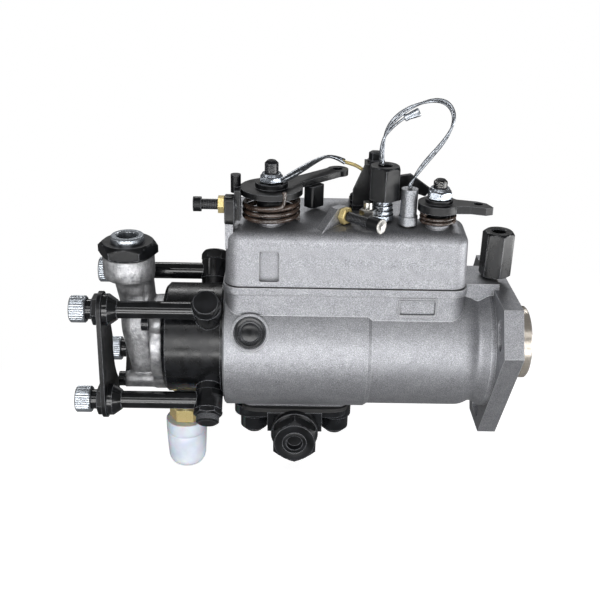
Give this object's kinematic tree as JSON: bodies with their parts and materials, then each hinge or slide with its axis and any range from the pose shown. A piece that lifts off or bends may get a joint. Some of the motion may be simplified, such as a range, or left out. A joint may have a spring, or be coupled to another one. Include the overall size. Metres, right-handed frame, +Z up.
{
  "type": "diesel injection pump",
  "caption": "Flange-mounted distributor injection pump with a round housing, a ribbed control cover, spring-loaded levers and capped delivery pipes.",
  "frame": {"origin": "centre of the machined flange face, on the pump axis", "axes": "+X along the pump axis towards the drive end, +Z up towards the control cover, control levers on the -Y side"},
  "size_m": [0.2806, 0.1166, 0.2512],
  "materials": {
    "black_oxide": "black oxide",
    "brass_plain": "turned",
    "bush_bronze": "sintered bush",
    "cap_white": "milky moulding",
    "cast_bright": "sand-cast surface",
    "cast_grey": "bead-blasted casting",
    "gasket_black": "pressed sheet",
    "seal_rubber": "moulded lip seal",
    "spring_black": "oiled spring wire",
    "steel_bright": "turned",
    "wire_silver": "twisted wire",
    "zinc_silver": "bright zinc plate"
  },
  "bodies": {
    "casing": {"adjusting_screws": "black_oxide", "advance_cap": "black_oxide", "advance_cap_nuts": "black_oxide", "advance_housing": "black_oxide", "advance_spring": "spring_black", "banjo_bolts": "black_oxide", "clamp_plates": "black_oxide", "control_cover": "cast_grey", "cover_gasket": "gasket_black", "delivery_pipes": "black_oxide", "drive_bush": "bush_bronze", "end_plate": "cast_bright", "end_plate_screws": "black_oxide", "governor_bracket": "steel_bright", "hex_sleeves": "black_oxide", "housing": "cast_grey", "hydraulic_head": "black_oxide", "inlet_adaptor": "black_oxide", "inlet_ring": "zinc_silver", "lead_seal": "zinc_silver", "lever_springs": "spring_black", "oil_seal": "seal_rubber", "pipe_caps": "zinc_silver", "pipe_nuts": "black_oxide", "rear_bracket": "black_oxide", "regulating_spring": "wire_silver", "return_cap": "cap_white", "return_nut": "brass_plain", "return_stub": "zinc_silver", "screw_locknuts": "brass_plain", "seal_wire": "wire_silver", "studs": "steel_bright", "timing_plug": "black_oxide", "transfer_liner": "steel_bright"},
    "drive": {"drive_shaft": "steel_bright", "governor_cage": "steel_bright", "rotor": "steel_bright", "transfer_rotor": "steel_bright", "transfer_blades": "steel_bright", "pumping_plungers": "steel_bright", "roller_shoes": "steel_bright", "cam_rollers": "steel_bright"},
    "weight_1": {"governor_weight_1": "steel_bright"},
    "weight_2": {"governor_weight_2": "steel_bright"},
    "weight_3": {"governor_weight_3": "steel_bright"},
    "weight_4": {"governor_weight_4": "steel_bright"},
    "sleeve": {"thrust_sleeve": "steel_bright"},
    "arm": {"governor_arm": "steel_bright"},
    "link": {"governor_link": "steel_bright"},
    "valve": {"metering_valve": "steel_bright"},
    "cam": {"cam_ring": "steel_bright"},
    "piston": {"advance_piston": "steel_bright"},
    "regulator": {"regulating_piston": "steel_bright"},
    "throttle": {"throttle_shaft": "black_oxide", "throttle_lever": "black_oxide", "throttle_nut": "zinc_silver", "throttle_wire": "wire_silver"},
    "stop": {"stop_shaft": "black_oxide", "stop_lever": "black_oxide", "stop_nut": "zinc_silver"}
  },
  "joints": [
    {"name": "drive_spin", "type": "hinge", "parent": "casing", "child": "drive", "pos_m": [0, 0, 0], "axis": [1, 0, 0], "continuous": true},
    {"name": "weight_swing_1", "type": "hinge", "parent": "drive", "child": "weight_1", "pos_m": [-0.0898, -0.01676, 0.01676], "axis": [0, -0.7071, -0.7071], "range_deg": [0, 8.7]},
    {"name": "weight_swing_2", "type": "hinge", "parent": "drive", "child": "weight_2", "pos_m": [-0.0898, -0.01676, -0.01676], "axis": [0, 0.7071, -0.7071], "range_deg": [0, 8.7]},
    {"name": "weight_swing_3", "type": "hinge", "parent": "drive", "child": "weight_3", "pos_m": [-0.0898, 0.01676, -0.01676], "axis": [0, 0.7071, 0.7071], "range_deg": [0, 8.7]},
    {"name": "weight_swing_4", "type": "hinge", "parent": "drive", "child": "weight_4", "pos_m": [-0.0898, 0.01676, 0.01676], "axis": [0, -0.7071, 0.7071], "range_deg": [0, 8.7]},
    {"name": "sleeve_slide", "type": "slide", "parent": "casing", "child": "sleeve", "axis": [1, 0, 0], "range_m": [0, 0.00175], "stiffness_N_per_m": 300},
    {"name": "arm_swing", "type": "hinge", "parent": "casing", "child": "arm", "pos_m": [-0.058, 0, 0.026], "axis": [0, -1, 0], "range_deg": [0, 3.9]},
    {"name": "link_slide", "type": "slide", "parent": "casing", "child": "link", "axis": [-1, 0, 0], "range_m": [0, 0.00183]},
    {"name": "valve_turn", "type": "hinge", "parent": "casing", "child": "valve", "pos_m": [-0.163, 0, 0.03], "axis": [0, 0, -1], "range_deg": [0, 8.8]},
    {"name": "cam_swing", "type": "hinge", "parent": "casing", "child": "cam", "pos_m": [-0.1312, 0, 0], "axis": [-1, 0, 0], "range_deg": [0, 8]},
    {"name": "advance_slide", "type": "slide", "parent": "casing", "child": "piston", "axis": [0, -1, 0], "range_m": [0, 0.0081], "stiffness_N_per_m": 800, "deforming": ["advance_spring"]},
    {"name": "regulator_slide", "type": "slide", "parent": "casing", "child": "regulator", "axis": [0, 0, 1], "range_m": [0, 0.006], "stiffness_N_per_m": 200, "deforming": ["regulating_spring"]},
    {"name": "throttle_swing", "type": "hinge", "parent": "casing", "child": "throttle", "pos_m": [-0.1473, -0.012, 0.1], "axis": [0, 0, 1], "range_deg": [0, 38], "stiffness_Nm_per_rad": 0.05},
    {"name": "stop_swing", "type": "hinge", "parent": "casing", "child": "stop", "pos_m": [-0.0495, -0.014, 0.095], "axis": [0, 0, 1], "range_deg": [0, 30], "stiffness_Nm_per_rad": 0.03}
  ],
  "couplings": [
    {"joint": "weight_swing_1", "follows": "sleeve_slide", "rad_per_m": 85.47},
    {"joint": "weight_swing_2", "follows": "sleeve_slide", "rad_per_m": 85.47},
    {"joint": "weight_swing_3", "follows": "sleeve_slide", "rad_per_m": 85.47},
    {"joint": "weight_swing_4", "follows": "sleeve_slide", "rad_per_m": 85.47},
    {"joint": "arm_swing", "follows": "sleeve_slide", "rad_per_m": 38.462},
    {"joint": "link_slide", "follows": "sleeve_slide", "ratio": 1.0385},
    {"joint": "valve_turn", "follows": "sleeve_slide", "rad_per_m": 86.538},
    {"joint": "advance_slide", "follows": "cam_swing", "m_per_rad": 0.058}
  ]
}
